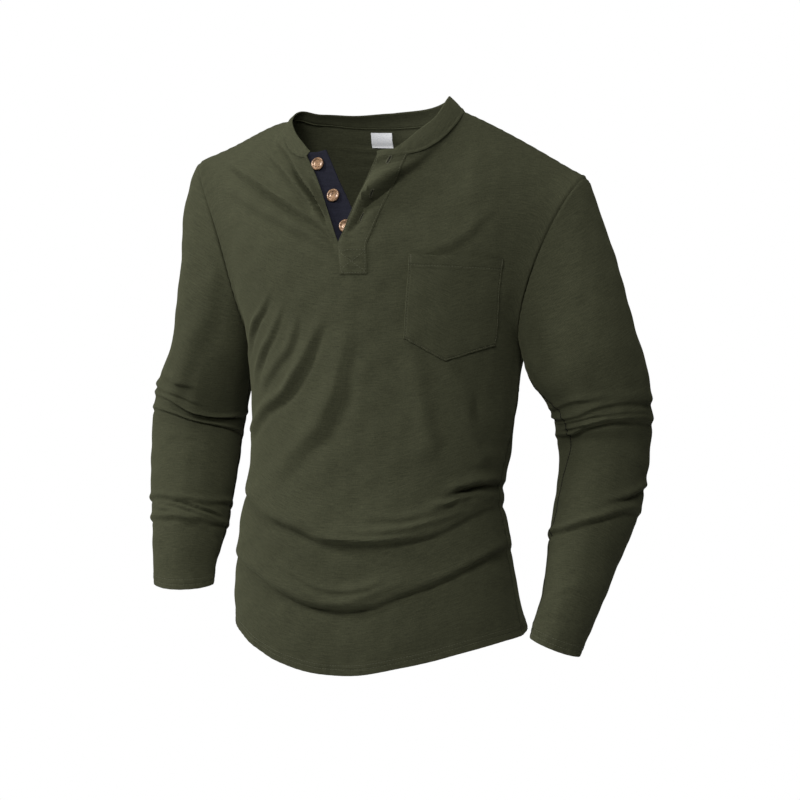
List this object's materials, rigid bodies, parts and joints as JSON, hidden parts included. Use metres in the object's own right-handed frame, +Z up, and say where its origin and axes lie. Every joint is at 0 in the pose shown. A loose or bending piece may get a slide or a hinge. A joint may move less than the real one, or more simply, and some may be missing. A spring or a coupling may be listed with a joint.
{
  "type": "long-sleeve henley shirt",
  "caption": "Long-sleeve knit henley shirt, filled out as worn: narrow neckband, open buttoned neck placket, pointed chest pocket and curved shirt-tail hem.",
  "frame": {"origin": "middle of the neck base, level with the highest point of the shoulders, where neck and shoulders carry the cloth", "axes": "+Z up along the standing body, -Y the way the chest faces, +X the wearer's left"},
  "size_m": [0.6236, 0.2508, 0.6565],
  "materials": {
    "front": "soft cotton jersey, matt with a faint sheen",
    "back": "soft cotton jersey, matt with a faint sheen",
    "sleeve_left": "soft cotton jersey, matt with a faint sheen",
    "sleeve_right": "soft cotton jersey, matt with a faint sheen",
    "neckband": "soft cotton jersey, matt with a faint sheen",
    "placket_upper": "soft cotton jersey, matt with a faint sheen",
    "pocket": "soft cotton jersey, matt with a faint sheen",
    "placket_under": "fine woven cotton, matt",
    "label": "smooth woven tape, satin",
    "button_1": "horn-look resin, satin",
    "button_2": "horn-look resin, satin",
    "button_3": "horn-look resin, satin"
  },
  "bodies": {
    "root": {"front": "front", "back": "back", "sleeve_left": "sleeve_left", "sleeve_right": "sleeve_right", "neckband": "neckband", "placket_upper": "placket_upper", "pocket": "pocket", "placket_under": "placket_under", "label": "label", "button_1": "button_1", "button_2": "button_2", "button_3": "button_3"}
  },
  "joints": []
}
